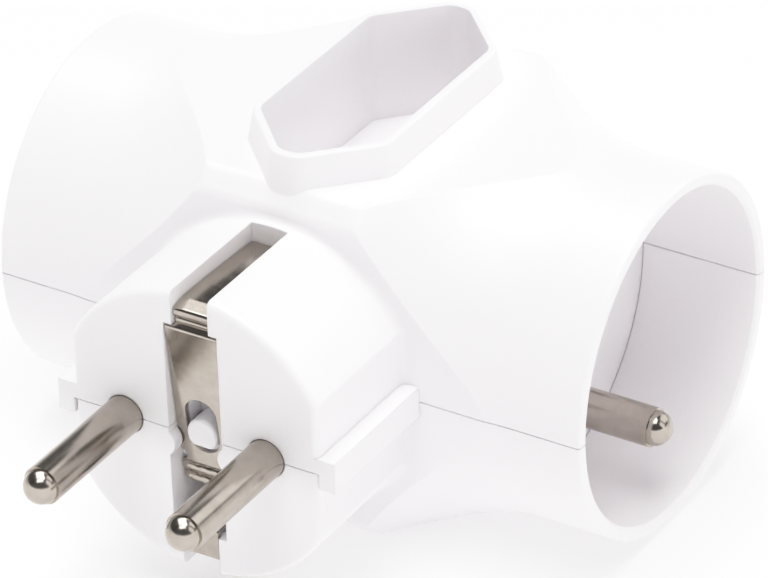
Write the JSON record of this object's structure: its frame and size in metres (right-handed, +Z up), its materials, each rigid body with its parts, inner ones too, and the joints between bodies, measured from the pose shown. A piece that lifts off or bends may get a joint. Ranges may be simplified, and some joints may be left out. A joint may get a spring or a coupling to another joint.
{
  "type": "multi socket adapter",
  "caption": "T-shaped white mains adapter: a round earthed plug in front, a round socket cup with an earth pin at each end and a flat two-pin socket on top.",
  "frame": {"origin": "middle of the plug's face, on the plane through both plug pins, where the two shells part", "axes": "+Y from the plug into the housing, +Z up towards the flat socket, +X towards the right cup"},
  "size_m": [0.079, 0.0819, 0.0486],
  "materials": {
    "housing": "white, satin moulded",
    "pins": "turned, nickel plated",
    "strips": "bent sheet, nickel plated",
    "bars": "bent sheet, bare",
    "screws": "zinc plated"
  },
  "bodies": {
    "root": {"upper_shell": "housing", "lower_shell": "housing", "left_socket_face": "housing", "right_socket_face": "housing", "left_earth_pin": "pins", "right_earth_pin": "pins", "neutral_plug_pin": "pins", "line_plug_pin": "pins", "upper_earth_strip": "strips", "lower_earth_strip": "strips", "earth_bar": "bars", "neutral_bar": "bars", "line_bar": "bars", "neutral_link": "bars", "line_link": "bars", "left_neutral_contact": "bars", "left_line_contact": "bars", "right_neutral_contact": "bars", "right_line_contact": "bars", "euro_neutral_contact": "bars", "euro_line_contact": "bars", "front_screw": "screws", "rear_left_screw": "screws", "rear_right_screw": "screws"}
  },
  "joints": []
}
